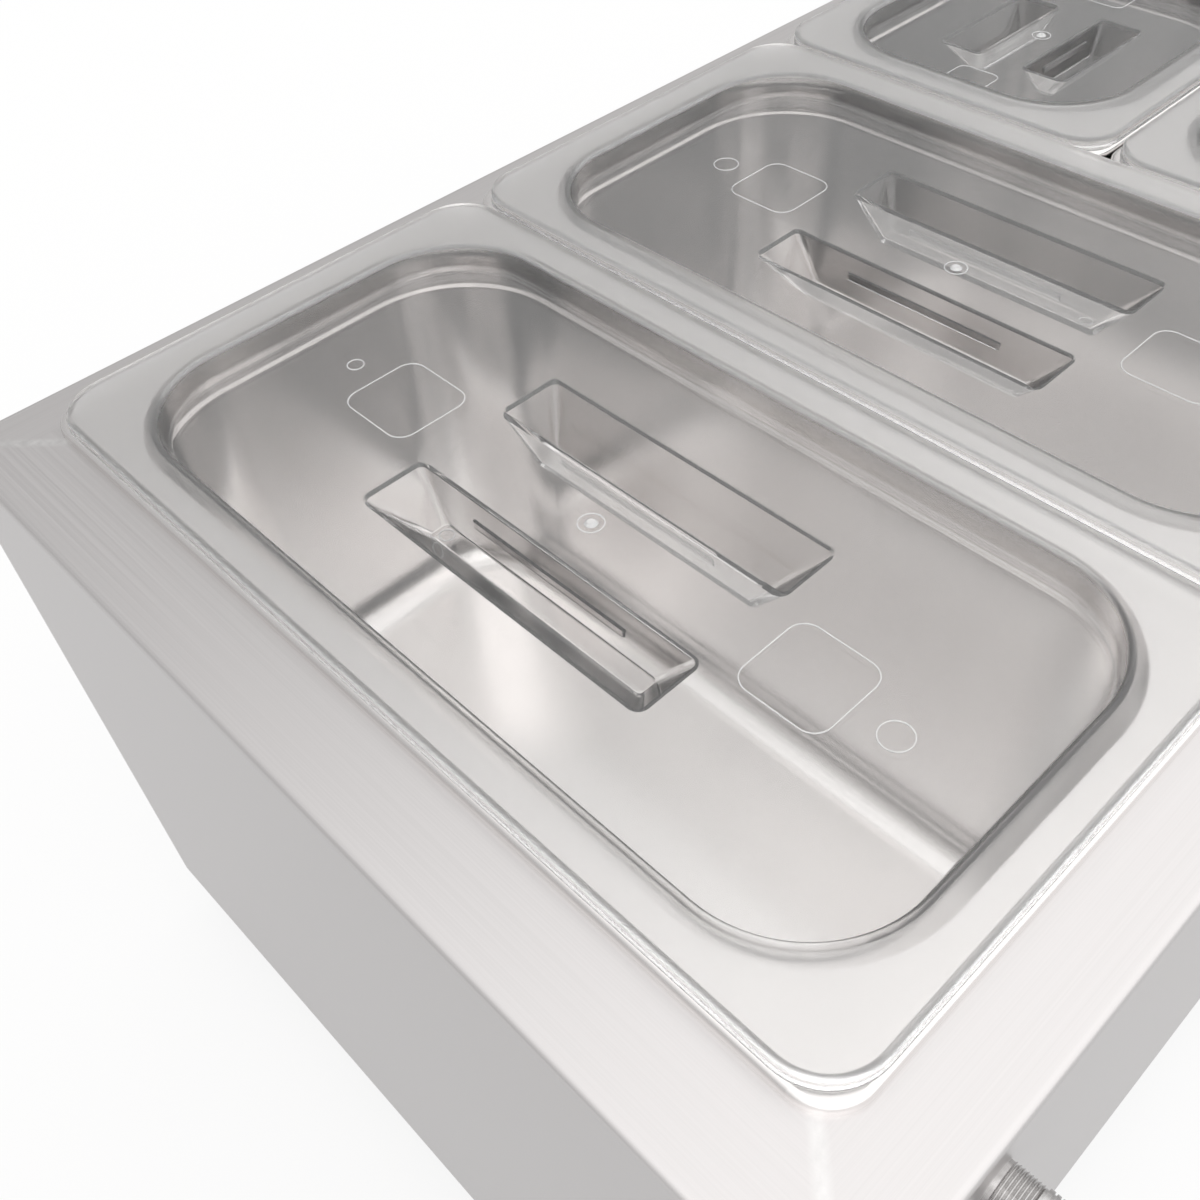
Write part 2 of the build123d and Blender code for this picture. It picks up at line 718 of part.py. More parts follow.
# Thermostat knob: skirt and fluted grip, hollow over the bush nut
nut_clear_radius = bush_nut_flats / 2 / cos(radians(30)) + knob_nut_play
with BuildPart() as thermostat_knob:
    with BuildSketch(front_plane(knob_x, control_z, knob_gap)):
        Circle(knob_radius)
    extrude(amount=knob_skirt)
    fillet(thermostat_knob.edges().group_by(Axis.Y)[0], knob_skirt_round)
    with BuildSketch(front_plane(knob_x, control_z, knob_gap)):
        Circle(knob_grip_radius)
        with PolarLocations(knob_grip_radius + flute_radius / 2, flute_count):
            Circle(flute_radius, mode=Mode.SUBTRACT)
    extrude(amount=knob_reach - knob_gap)
    fillet(thermostat_knob.faces().sort_by(Axis.Y)[0].edges(), knob_edge_round)
    with BuildSketch(front_plane(knob_x, control_z, knob_gap)):
        Circle(nut_clear_radius)
    extrude(amount=bush_reach, mode=Mode.SUBTRACT)
    with BuildSketch(front_plane(knob_x, control_z, knob_gap)):
        Circle(shaft_radius + shaft_play)
        with Locations((0, shaft_flat + shaft_play)):
            Rectangle(3 * shaft_radius, shaft_radius, align=(Align.CENTER, Align.MIN), mode=Mode.SUBTRACT)
    extrude(amount=shaft_end + shaft_play - knob_gap, mode=Mode.SUBTRACT)
save(thermostat_knob, "thermostat_knob")

# Capillary and its bulb, along the front of the tank
tank_front_y = row_y - tank_y / 2 - tank_sheet
bulb_y = tank_front_y - bulb_play - bulb_radius
bulb_z = tank_floor_z + bulb_above_floor
capillary_x = knob_x - capillary_offset
bulb_x = capillary_x - capillary_run
capillary_points = [
    (capillary_x, bulb_y, control_z + thermostat_z / 2),
    (capillary_x, bulb_y, bulb_z),
    (bulb_x, bulb_y, bulb_z),
]
with BuildPart() as capillary:
    with BuildLine():
        FilletPolyline(*capillary_points, radius=capillary_bend)
    with BuildSketch(Plane(capillary_points[0])):
        Circle(capillary_radius)
    sweep()
    with BuildSketch(Plane(origin=capillary_points[2], x_dir=(0, 1, 0), z_dir=(-1, 0, 0))):
        Circle(bulb_radius)
    extrude(amount=bulb_length)
    fillet(capillary.edges().group_by(Axis.X)[0], bulb_round)
save(capillary, "capillary")

# Clips that hold the bulb to the tank wall
clip_axis = bulb_radius + bulb_play
clip_reach = clip_axis + clip_sheet
clip_tall = 2 * (clip_reach + clip_foot)
with BuildPart() as bulb_clips:
    for x in (bulb_x - bulb_length / 2 + clip_pitch / 2, bulb_x - bulb_length / 2 - clip_pitch / 2):
        with BuildSketch(Plane(origin=(x, tank_front_y, bulb_z), x_dir=(0, -1, 0), z_dir=(-1, 0, 0))):
            Rectangle(clip_sheet, clip_tall, align=(Align.MIN, Align.CENTER))
            with Locations((clip_axis, 0)):
                Circle(clip_reach)
                Circle(clip_axis, mode=Mode.SUBTRACT)
            Rectangle(clip_reach, clip_tall, align=(Align.MAX, Align.CENTER), mode=Mode.SUBTRACT)
            Rectangle(clip_axis, 2 * clip_axis, align=(Align.MIN, Align.CENTER), mode=Mode.SUBTRACT)
        extrude(amount=clip_width / 2, both=True)
save(bulb_clips, "bulb_clips")

# Mains switch housing with its bezel
rocker_y = front_y - switch_bezel_height + rocker_pivot_depth
rocker_limit = switch_tall / 2 - switch_wall - rocker_play
rocker_front = rocker_pivot_depth + rocker_rise
tilt_slope = tan(radians(rocker_tilt))
rocker_half = rocker_limit / cos(radians(rocker_tilt)) - rocker_front * tilt_slope
rocker_wide = switch_wide - 2 * switch_wall - 2 * rocker_play
switch_cavity = rocker_pivot_depth + rocker_back + rocker_half * tilt_slope
pivot = Plane(origin=(switch_x, rocker_y, control_z), x_dir=(0, -1, 0), z_dir=(-1, 0, 0))
with BuildPart() as switch_body:
    with BuildSketch(front_plane(switch_x, control_z)):
        RectangleRounded(switch_wide + 2 * switch_bezel, switch_tall + 2 * switch_bezel, switch_bezel)
    extrude(amount=switch_bezel_height)
    fillet(switch_body.faces().sort_by(Axis.Y)[0].edges(), switch_bezel_round)
    with BuildSketch(front_plane(switch_x, control_z)):
        Rectangle(switch_wide, switch_tall)
    extrude(amount=-switch_depth)
    with BuildSketch(front_plane(switch_x, control_z, switch_bezel_height)):
        Rectangle(switch_wide - 2 * switch_wall, switch_tall - 2 * switch_wall)
    extrude(amount=-switch_cavity, mode=Mode.SUBTRACT)
    with BuildSketch(pivot):
        Circle(rocker_pivot_radius + shaft_play)
    extrude(amount=switch_wide / 2 - switch_wall / 2, both=True, mode=Mode.SUBTRACT)
    with BuildSketch(front_plane(switch_x, control_z, -switch_depth)):
        with GridLocations(switch_blade_pitch_x, switch_blade_pitch_z, 2, 2):
            Rectangle(blade_sheet, blade_wide)
    extrude(amount=-blade_length)
save(switch_body, "switch_body")

# Rocker on its two pivots, tipped to its off side at rest
rocker_outline = [
    (rocker_front, rocker_half),
    (rocker_front - rocker_rise / 2, 0),
    (rocker_front, -rocker_half),
    (-rocker_back, rocker_back_inset - rocker_half),
    (-rocker_back, rocker_half - rocker_back_inset),
]
with BuildPart() as switch_rocker:
    with BuildSketch(pivot):
        Polygon(*rocker_outline, rotation=rocker_tilt, align=None)
    extrude(amount=rocker_wide / 2, both=True)
    with BuildSketch(pivot):
        Circle(rocker_pivot_radius)
    extrude(amount=switch_wide / 2 - switch_wall / 2 - shaft_play, both=True)
save(switch_rocker, "switch_rocker")

# Signal lamps: black barrels with a bezel, and a lens in each
lens_radius = lamp_radius - lamp_wall - lens_play
with BuildPart() as lamp_bodies:
    for x in lamp_places:
        with BuildSketch(front_plane(x, control_z)):
            Circle(lamp_bezel_radius)
        extrude(amount=lamp_bezel)
    fillet(lamp_bodies.edges().group_by(Axis.Y)[0], lamp_bezel_round)
    for x in lamp_places:
        with BuildSketch(front_plane(x, control_z)):
            Circle(lamp_radius)
        extrude(amount=-lamp_length)
        with BuildSketch(front_plane(x, control_z, lamp_bezel)):
            Circle(lamp_radius - lamp_wall)
        extrude(amount=-lamp_bezel - lens_seat, mode=Mode.SUBTRACT)
save(lamp_bodies, "lamp_bodies")

for name, x in zip(("lamp_lens_power", "lamp_lens_heat"), lamp_places):
    with BuildPart() as lamp_lens:
        with BuildSketch(front_plane(x, control_z, -lens_seat)):
            Circle(lens_radius)
        extrude(amount=lens_seat + lamp_bezel + lens_rise)
        fillet(lamp_lens.edges().group_by(Axis.Y)[0], lens_round)
    save(lamp_lens, name)

# Cord gland through the rear wall
with BuildPart() as gland_body:
    with BuildSketch(rear_plane(gland_x, control_z)):
        RegularPolygon(gland_hex_flats / 2, 6, major_radius=False)
    extrude(amount=gland_hex)
    with BuildSketch(rear_plane(gland_x, control_z, -sheet - gland_thread)):
        Circle(gland_radius)
    extrude(amount=sheet + gland_thread)
    with BuildSketch(rear_plane(gland_x, control_z, gland_hex)):
        Circle(gland_neck_radius)
    extrude(amount=gland_neck)
    with BuildSketch(rear_plane(gland_x, control_z, gland_hex + gland_neck)):
        Circle(gland_bore_radius)
    extrude(amount=-gland_hex - gland_neck - sheet - gland_thread, mode=Mode.SUBTRACT)
save(gland_body, "gland_body")

with BuildPart() as gland_dome_nut:
    with BuildSketch(rear_plane(gland_x, control_z, gland_hex)):
        Circle(gland_dome_radius)
    extrude(amount=gland_dome)
    fillet(gland_dome_nut.edges().group_by(Axis.Y)[-1], gland_dome_round)
    with BuildSketch(rear_plane(gland_x, control_z, gland_hex)):
        Circle(gland_neck_radius + screw_play)
    extrude(amount=gland_neck + screw_play, mode=Mode.SUBTRACT)
    with BuildSketch(rear_plane(gland_x, control_z, gland_hex)):
        Circle(gland_bore_radius)
    extrude(amount=gland_dome, mode=Mode.SUBTRACT)
save(gland_dome_nut, "gland_dome_nut")

with BuildPart() as gland_lock_nut:
    with BuildSketch(rear_plane(gland_x, control_z, -sheet)):
        RegularPolygon(gland_hex_flats / 2, 6, major_radius=False)
        Circle(gland_radius + screw_play, mode=Mode.SUBTRACT)
    extrude(amount=-gland_nut)
save(gland_lock_nut, "gland_lock_nut")

# Terminal block on the base plate, with two screw wells for each pole
block_top = Plane((gland_x, rear_y - block_from_rear, base_z + sheet + block_height))
with BuildPart() as terminal_block:
    with BuildSketch(block_top):
        RectangleRounded(block_long, block_wide, block_round)
    extrude(amount=-block_height)
    with BuildSketch(block_top):
        with GridLocations(block_pole_pitch, block_well_pitch, block_poles, 2):
            Circle(block_well_radius)
    extrude(amount=-block_well, mode=Mode.SUBTRACT)
    with BuildSketch(block_top):
        with GridLocations(block_pole_pitch, 0, block_poles - 1, 1):
            Rectangle(block_groove, block_wide)
    extrude(amount=-block_groove_depth, mode=Mode.SUBTRACT)
save(terminal_block, "terminal_block")

# Bonding stud on the rear wall and the grooved ring nut on it
stud_place_x = deck_x / 2 - stud_from_end
stud_z = deck_z - stud_below_deck
with BuildPart() as bonding_stud:
    with BuildSketch(rear_plane(stud_place_x, stud_z)):
        Circle(stud_shoulder_radius)
    extrude(amount=stud_shoulder)
    with BuildSketch(rear_plane(stud_place_x, stud_z, stud_shoulder)):
        Circle(stud_neck_radius)
    extrude(amount=stud_reach - stud_shoulder)
    chamfer(bonding_stud.edges().group_by(Axis.Y)[-1], stud_chamfer)
    with BuildSketch(rear_plane(stud_place_x, stud_z, stud_shoulder + ring_length)):
        Circle(stud_neck_radius)
        Circle(stud_relief_radius, mode=Mode.SUBTRACT)
    extrude(amount=stud_relief, mode=Mode.SUBTRACT)
save(bonding_stud, "bonding_stud")

groove_pitch = ring_length / (ring_grooves + 1)
with BuildPart() as bonding_ring:
    with BuildSketch(rear_plane(stud_place_x, stud_z, stud_shoulder)):
        Circle(ring_radius)
    extrude(amount=ring_length)
    for step in range(1, ring_grooves + 1):
        with BuildSketch(rear_plane(stud_place_x, stud_z, stud_shoulder + step * groove_pitch)):
            Circle(ring_radius)
            Circle(ring_radius - ring_groove, mode=Mode.SUBTRACT)
        extrude(amount=ring_groove / 2, both=True, mode=Mode.SUBTRACT)
    with BuildSketch(rear_plane(stud_place_x, stud_z, stud_shoulder)):
        Circle(stud_neck_radius + ring_play)
    extrude(amount=ring_length, mode=Mode.SUBTRACT)
save(bonding_ring, "bonding_ring")
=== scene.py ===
# %% [markdown]
# # A countertop food warmer
#
# The object is a water-bath food warmer: a folded steel casing, a heated tank, lift-out pans
# and clear moulded lids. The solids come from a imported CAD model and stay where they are.
# This lesson gives them their finishes, adds the small moulded and machined details, and
# lights them as a product photographer would.

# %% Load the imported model
import math

import bmesh
import bpy
from mathutils import Matrix, Vector


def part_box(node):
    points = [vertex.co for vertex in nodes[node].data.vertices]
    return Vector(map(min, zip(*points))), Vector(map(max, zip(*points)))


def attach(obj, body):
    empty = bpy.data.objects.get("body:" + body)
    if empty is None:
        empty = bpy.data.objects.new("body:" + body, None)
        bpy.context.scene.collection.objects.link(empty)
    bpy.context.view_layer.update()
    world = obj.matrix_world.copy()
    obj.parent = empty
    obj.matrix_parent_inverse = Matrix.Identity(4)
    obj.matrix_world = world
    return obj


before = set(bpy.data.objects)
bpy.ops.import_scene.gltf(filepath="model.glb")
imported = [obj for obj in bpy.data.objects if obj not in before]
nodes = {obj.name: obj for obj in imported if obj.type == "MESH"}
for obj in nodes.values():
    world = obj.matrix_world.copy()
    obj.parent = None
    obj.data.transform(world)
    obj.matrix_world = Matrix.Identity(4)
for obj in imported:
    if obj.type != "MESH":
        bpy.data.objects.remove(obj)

scene = bpy.context.scene
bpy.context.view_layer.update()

# %% [markdown]
# The camera could be set by eye with a target and a distance. Here its place and its three
# axes were worked out from the standard pan outlines, so they are written down as they are.
# The small shift keeps the optical centre where the picture has it.

# %% Camera
look_right = Vector((-0.71235, 0.70029, -0.04631))
look_up = Vector((-0.53925, -0.50392, 0.67474))
look_back = Vector((0.44918, 0.50562, 0.73660))
camera_place = Vector((0.34764, 0.20288, 0.53355))
camera_data = bpy.data.cameras.new("camera")
camera_data.sensor_width = 36.0
camera_data.lens = 38.19
camera_data.shift_x = -0.0263
camera_data.shift_y = 0.0092
camera_data.clip_start = 0.01
camera = bpy.data.objects.new("camera", camera_data)
scene.collection.objects.link(camera)
axes = Matrix((look_right, look_up, look_back)).transposed()
camera.matrix_world = Matrix.Translation(camera_place) @ axes.to_4x4()
scene.camera = camera
scene.view_settings.view_transform = "Standard"
print("camera at", tuple(camera_place))

# %% [markdown]
# Steel is mostly a picture of its surroundings, so the studio comes first. All the materials are
# small node trees, and a few helpers keep them short: one joins two sockets, one adds a node
# with plain values, one adds a calculation whose terms are sockets or numbers, and one starts a
# new material.


# %% Helpers for node trees
def link(tree, source, target):
    """Join an output socket to an input socket of one node tree."""
    tree.links.new(source, target)


def add_node(tree, kind, **inputs):
    """New node whose named inputs get plain values."""
    node = tree.nodes.new(kind)
    for name, value in inputs.items():
        node.inputs[name.replace("_", " ")].default_value = value
    return node


def add_math(tree, operation, *terms):
    """Result of a Math node whose terms are sockets or numbers."""
    node = tree.nodes.new("ShaderNodeMath")
    node.operation = operation
    for term, socket in zip(terms, node.inputs):
        if isinstance(term, (int, float)):
            socket.default_value = term
        else:
            link(tree, term, socket)
    return node.outputs[0]


def start_finish(name):
    """New material with its node tree and its shader."""
    finish = bpy.data.materials.new(name)
    finish.use_nodes = True
    return finish, finish.node_tree, finish.node_tree.nodes["Principled BSDF"]


# %% [markdown]
# The floor is a plain pale sheet that catches the object's shadow. More lamps would make it
# white, but would burn out the steel. Light Path is the kinder way: rays from the camera see
# most of the floor as plain white, and rays from a mirror see it a little dimmer.

# %% Floor
white = (1, 1, 1, 1)
floor_half = 6.0
floor_grey = (0.82, 0.82, 0.82, 1)
floor_rough = 0.9
plain_share = 0.8
mirror_loss = -0.30

floor_mesh = bpy.data.meshes.new("floor")
work = bmesh.new()
bmesh.ops.create_grid(work, x_segments=1, y_segments=1, size=floor_half)
work.to_mesh(floor_mesh)
work.free()
floor = bpy.data.objects.new("floor", floor_mesh)
scene.collection.objects.link(floor)

floor_paint, paint, floor_shader = start_finish("floor_white")
floor_shader.inputs["Base Color"].default_value = floor_grey
floor_shader.inputs["Roughness"].default_value = floor_rough
floor_shader.inputs["Specular IOR Level"].default_value = 0.0
ray = add_node(paint, "ShaderNodeLightPath").outputs
seen = add_math(paint, "MAXIMUM", ray["Is Camera Ray"], ray["Is Transmission Ray"])
mirrored = add_math(paint, "MAXIMUM", seen, ray["Is Glossy Ray"])
floor_glow = add_node(paint, "ShaderNodeEmission", Color=white)
glow_level = add_math(paint, "MULTIPLY_ADD", ray["Is Glossy Ray"], mirror_loss, 1.0)
link(paint, glow_level, floor_glow.inputs["Strength"])
floor_mix = add_node(paint, "ShaderNodeMixShader")
link(paint, add_math(paint, "MULTIPLY", mirrored, plain_share), floor_mix.inputs[0])
link(paint, floor_shader.outputs[0], floor_mix.inputs[1])
link(paint, floor_glow.outputs[0], floor_mix.inputs[2])
link(paint, floor_mix.outputs[0], paint.nodes["Material Output"].inputs["Surface"])
floor_mesh.materials.append(floor_paint)
print("floor of", 2 * floor_half, "m")

# %% [markdown]
# The surroundings are white to the camera. For everything else they run from bright, above the
# rear of the object, to dim at its front, because steel looks flat when all that it mirrors is
# one tone. A wide, weak lamp adds a soft direction without hard spots in the clear lids.

# %% Surroundings and lamp
bright_side = Vector((0.0, 0.75, 0.66)).normalized()
sky_stops = ((0.10, 0.53), (0.39, 0.58), (0.52, 0.81), (0.62, 1.14), (0.70, 1.40))
lamp_place = Vector((0.9, 0.9, 1.8))
lamp_target = Vector((0.0, 0.0, 0.2))

world = bpy.data.worlds.new("studio")
scene.world = world
world.use_nodes = True
sky = world.node_tree
sky_way = add_node(sky, "ShaderNodeTexCoord")
sky_dot = add_node(sky, "ShaderNodeVectorMath")
sky_dot.operation = "DOT_PRODUCT"
sky_dot.inputs[1].default_value = bright_side
sky_side = add_node(sky, "ShaderNodeMapRange", From_Min=-1.0, From_Max=1.0)
sky_level = add_node(sky, "ShaderNodeValToRGB")
ramp_stops = sky_level.color_ramp.elements
for position, level in sky_stops:
    ramp_stops.new(position).color = (level, level * 0.995, level * 0.99, 1)
ramp_stops.remove(ramp_stops[0])
ramp_stops.remove(ramp_stops[-1])
sky_ray = add_node(sky, "ShaderNodeLightPath")
sky_mix = add_node(sky, "ShaderNodeMix")
sky_mix.data_type = "RGBA"
sky_mix.inputs["B"].default_value = white
link(sky, sky_way.outputs["Generated"], sky_dot.inputs[0])
link(sky, sky_dot.outputs["Value"], sky_side.inputs["Value"])
link(sky, sky_side.outputs[0], sky_level.inputs[0])
link(sky, sky_ray.outputs["Is Camera Ray"], sky_mix.inputs["Factor"])
link(sky, sky_level.outputs[0], sky_mix.inputs["A"])
link(sky, sky_mix.outputs["Result"], sky.nodes["Background"].inputs["Color"])

soft_box_data = bpy.data.lights.new("soft_box", "AREA")
soft_box_data.shape = "RECTANGLE"
soft_box_data.size = 1.6
soft_box_data.size_y = 1.2
soft_box_data.energy = 4.0
soft_box = bpy.data.objects.new("soft_box", soft_box_data)
scene.collection.objects.link(soft_box)
soft_box.location = lamp_place
soft_box.rotation_euler = (lamp_place - lamp_target).to_track_quat("Z", "Y").to_euler()
print("sky stops:", len(sky_stops))

# %% [markdown]
# Most of the object is stainless sheet. Rolled sheet is finished by a belt, which leaves fine
# scratches along one direction. Noise that is stretched along that direction gives the
# streaks, and the same noise moves the colour, the roughness and a very small bump. Plated,
# drawn and heat-stained metals use the same tree with a pattern that has no direction.


# %% Metals
def pattern(tree, stretch, detail=3.0):
    """Noise on the object's own coordinates, stretched by a scale on each axis."""
    where = add_node(tree, "ShaderNodeTexCoord")
    turn = add_node(tree, "ShaderNodeMapping", Scale=stretch)
    noise = add_node(tree, "ShaderNodeTexNoise", Scale=1.0, Detail=detail, Roughness=0.6)
    link(tree, where.outputs["Object"], turn.inputs["Vector"])
    link(tree, turn.outputs["Vector"], noise.inputs["Vector"])
    return noise.outputs[0]


def between(tree, value, low, high, start=0.3, end=0.7):
    """Map a value to a range; most of a noise lies between 0.3 and 0.7."""
    reach = add_node(tree, "ShaderNodeMapRange", From_Min=start, From_Max=end, To_Min=low, To_Max=high)
    link(tree, value, reach.inputs["Value"])
    return reach.outputs[0]


def tint(tree, value, low, high):
    """Map a noise value to a colour between two."""
    ramp = add_node(tree, "ShaderNodeValToRGB")
    for stop, position, colour in zip(ramp.color_ramp.elements, (0.3, 0.7), (low, high)):
        stop.position = position
        stop.color = (*colour, 1)
    link(tree, value, ramp.inputs[0])
    return ramp.outputs[0]


def relief(tree, value, shader, height, strength=1.0):
    """Small bump from a noise value; the height is in metres."""
    bump = add_node(tree, "ShaderNodeBump", Strength=strength, Distance=height)
    link(tree, value, bump.inputs["Height"])
    link(tree, bump.outputs[0], shader.inputs["Normal"])


def metal(name, stretch, low, high, smooth, rough, height):
    """Metal whose marks run along the axis with the smallest scale."""
    finish, tree, shader = start_finish(name)
    shader.inputs["Metallic"].default_value = 1.0
    marks = pattern(tree, stretch)
    link(tree, tint(tree, marks, low, high), shader.inputs["Base Color"])
    link(tree, between(tree, marks, smooth, rough), shader.inputs["Roughness"])
    if height:
        relief(tree, marks, shader, height)
    return finish


sheet_dark = (0.655, 0.637, 0.634)
sheet_light = (0.700, 0.680, 0.678)
long_panel_steel = metal("casing_long", (4, 1600, 1600), sheet_dark, sheet_light, 0.30, 0.40, 3e-6)
end_panel_steel = metal("casing_end", (1600, 4, 1600), sheet_dark, sheet_light, 0.30, 0.40, 3e-6)
pan_steel = metal("pan_satin", (24, 24, 8), (0.795, 0.775, 0.767), (0.825, 0.805, 0.797), 0.19, 0.23, 0)
tank_steel = metal("tank_sheet", (300, 300, 300), (0.50, 0.49, 0.48), (0.56, 0.55, 0.54), 0.28, 0.40, 2e-6)
zinc = metal("zinc_plate", (900, 900, 900), (0.52, 0.53, 0.54), (0.62, 0.63, 0.65), 0.24, 0.38, 2e-6)
stud_steel = metal("stud_steel", (900, 900, 900), (0.46, 0.45, 0.445), (0.56, 0.55, 0.545), 0.14, 0.22, 1e-6)
sheath = metal("sheath_oxide", (200, 200, 200), (0.16, 0.15, 0.14), (0.30, 0.26, 0.22), 0.35, 0.50, 2e-6)
copper = metal("drawn_copper", (300, 300, 300), (0.56, 0.28, 0.16), (0.70, 0.38, 0.24), 0.22, 0.36, 2e-6)
print("last metal made:", copper.name)

# %% [markdown]
# The four panels meet in mitred corners that are welded and ground flush. The ground strip is a
# little brighter and hides most of the belt marks. It could be painted on as a mask, but its
# place follows from the casing's size: it is where the distances to two neighbouring walls are
# alike.


# %% Ground weld on the mitres
def ground_weld(finish, half_x, half_y, reach):
    """Mix a brighter strip with its own grain into a panel's steel along the mitre lines."""
    tree = finish.node_tree
    shader = tree.nodes["Principled BSDF"]
    where = add_node(tree, "ShaderNodeTexCoord")
    parts = add_node(tree, "ShaderNodeSeparateXYZ")
    link(tree, where.outputs["Object"], parts.inputs[0])
    inset_x, inset_y = (
        add_math(tree, "SUBTRACT", half, add_math(tree, "ABSOLUTE", parts.outputs[axis]))
        for axis, half in (("X", half_x), ("Y", half_y))
    )
    apart = add_math(tree, "ABSOLUTE", add_math(tree, "SUBTRACT", inset_x, inset_y))
    grind = pattern(tree, (400, 400, 400))
    ragged = add_math(tree, "MULTIPLY_ADD", grind, reach, apart)
    strip = between(tree, ragged, 0.8, 0.0, reach, reach * 2)
    ground_colour = tint(tree, grind, (0.68, 0.67, 0.665), (0.80, 0.79, 0.785))
    ground_rough = between(tree, grind, 0.26, 0.44)
    for name, kind, ground in (("Base Color", "RGBA", ground_colour), ("Roughness", "FLOAT", ground_rough)):
        mix = add_node(tree, "ShaderNodeMix")
        mix.data_type = kind
        link(tree, strip, mix.inputs["Factor"])
        link(tree, shader.inputs[name].links[0].from_socket, mix.inputs["A"])
        link(tree, ground, mix.inputs["B"])
        link(tree, mix.outputs["Result"], shader.inputs[name])


weld_reach = 0.0024
half_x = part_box("casing_right")[1][0]
half_y = -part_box("casing_front")[0][1]
for steel in (long_panel_steel, end_panel_steel):
    ground_weld(steel, half_x, half_y, weld_reach)
print("casing half sizes:", round(half_x, 4), round(half_y, 4))

# %% [markdown]
# The lids are clear polycarbonate. Transparency alone would look like tinted film. A moulded
# tray bends light in its corners and mirrors its surroundings, so the finish is a true
# dielectric with a plastic's refractive index, and a trace of unevenness from the mould. The rim
# is textured in the mould, so there the roughness grows with height.


# %% Clear moulded plastic
def clear_moulding(name, colour, rough, bend, clear, frost=None):
    """Clear plastic that refracts; frost is two heights and the roughness that grows between them."""
    finish, tree, shader = start_finish(name)
    shader.inputs["Base Color"].default_value = (*colour, 1)
    shader.inputs["Transmission Weight"].default_value = clear
    shader.inputs["IOR"].default_value = bend
    flow = pattern(tree, (60, 60, 60), detail=2.0)
    satin = between(tree, flow, rough, rough + 0.03)
    if frost:
        foot, top, added = frost
        where = add_node(tree, "ShaderNodeTexCoord")
        parts = add_node(tree, "ShaderNodeSeparateXYZ")
        link(tree, where.outputs["Object"], parts.inputs[0])
        satin = add_math(tree, "ADD", between(tree, parts.outputs["Z"], 0.0, added, foot, top), satin)
    link(tree, satin, shader.inputs["Roughness"])
    relief(tree, flow, shader, 2e-6, 0.1)
    return finish


lid_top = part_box("lid_third_right")[1][2]
rim_frost = (lid_top - 0.0050, lid_top - 0.0010, 0.30)
lid_clear = clear_moulding("lid_plastic", (0.995, 0.993, 0.99), 0.01, 1.50, 0.94, rim_frost)
lid_frost = clear_moulding("lid_frost", (0.96, 0.96, 0.96), 0.22, 1.50, 0.58)
lens_green = clear_moulding("green_lens", (0.08, 0.62, 0.20), 0.10, 1.49, 0.70)
lens_amber = clear_moulding("amber_lens", (0.95, 0.45, 0.06), 0.10, 1.49, 0.70)
print("lid rim at", round(lid_top, 4))

# %% [markdown]
# The switch, the knob, the lamps and the gland are moulded in opaque plastic, and the feet are
# rubber. Moulds for such pieces are spark-eroded, which leaves a fine even grain. A noise at
# the scale of that grain drives the roughness and a bump of a few hundredths of a millimetre.


# %% Opaque plastics and rubber
def grained_plastic(name, low, high, smooth, rough, height):
    """Opaque moulding with a fine even grain."""
    finish, tree, shader = start_finish(name)
    grain = pattern(tree, (1400, 1400, 1400), detail=2.0)
    link(tree, tint(tree, grain, low, high), shader.inputs["Base Color"])
    link(tree, between(tree, grain, smooth, rough), shader.inputs["Roughness"])
    relief(tree, grain, shader, height, 0.5)
    return finish


black_plastic = grained_plastic("black_moulding", (0.016, 0.016, 0.017), (0.026, 0.026, 0.028),
                                0.36, 0.50, 3e-5)
rocker_red = grained_plastic("red_moulding", (0.40, 0.016, 0.012), (0.48, 0.022, 0.016), 0.22, 0.32, 1e-5)
foot_rubber = grained_plastic("black_rubber", (0.018, 0.018, 0.018), (0.034, 0.033, 0.032), 0.66, 0.82, 6e-5)
block_white = grained_plastic("white_moulding", (0.62, 0.60, 0.54), (0.70, 0.68, 0.62), 0.40, 0.55, 2e-5)
mark_white = grained_plastic("mark_white", (0.74, 0.74, 0.72), (0.82, 0.82, 0.80), 0.40, 0.52, 1e-5)
print("last plastic made:", mark_white.name)

# %% [markdown]
# Each CAD piece keeps its own mesh and only gets its finish. The long panels and the end
# panels are the same steel, but their belt marks follow their own length, and that is what
# makes the mitred corners show on the real casing.

# %% Finishes of the CAD pieces
places = ("third_right", "third_middle", "sixth_front", "sixth_rear")
finishes = {
    long_panel_steel: ["casing_front", "casing_rear"],
    end_panel_steel: ["casing_left", "casing_right"],
    pan_steel: ["divider_bar_left", "divider_bar_right", *(f"pan_{place}" for place in places)],
    tank_steel: ["water_tank", "base_plate"],
    zinc: ["base_screws", "foot_screws", "foot_nuts", "clamp_plate", "clamp_studs", "clamp_nuts",
           "thermostat_nut", "thermostat_shaft", "bulb_clips"],
    stud_steel: ["bonding_stud", "bonding_ring"],
    sheath: ["heating_element"],
    copper: ["capillary"],
    black_plastic: ["thermal_cutout", "thermostat_body", "thermostat_knob", "switch_body", "lamp_bodies",
                    "gland_body", "gland_dome_nut", "gland_lock_nut"],
    rocker_red: ["switch_rocker"],
    lens_green: ["lamp_lens_power"],
    lens_amber: ["lamp_lens_heat"],
    foot_rubber: ["feet"],
    block_white: ["terminal_block"],
    lid_clear: [f"lid_{place}" for place in places],
}
for finish, names in finishes.items():
    for name in names:
        nodes[name].data.materials.clear()
        nodes[name].data.materials.append(finish)
bare = sorted(set(nodes) - {name for names in finishes.values() for name in names})
print("nodes without a finish:", bare)

# %% [markdown]
# The stub on the rear wall has a fine thread. A ring for each turn would do from afar, but a
# screw sweep gives a true helix for the same effort: a small triangle is spun about the stud's
# axis and moves along it a little with every step.


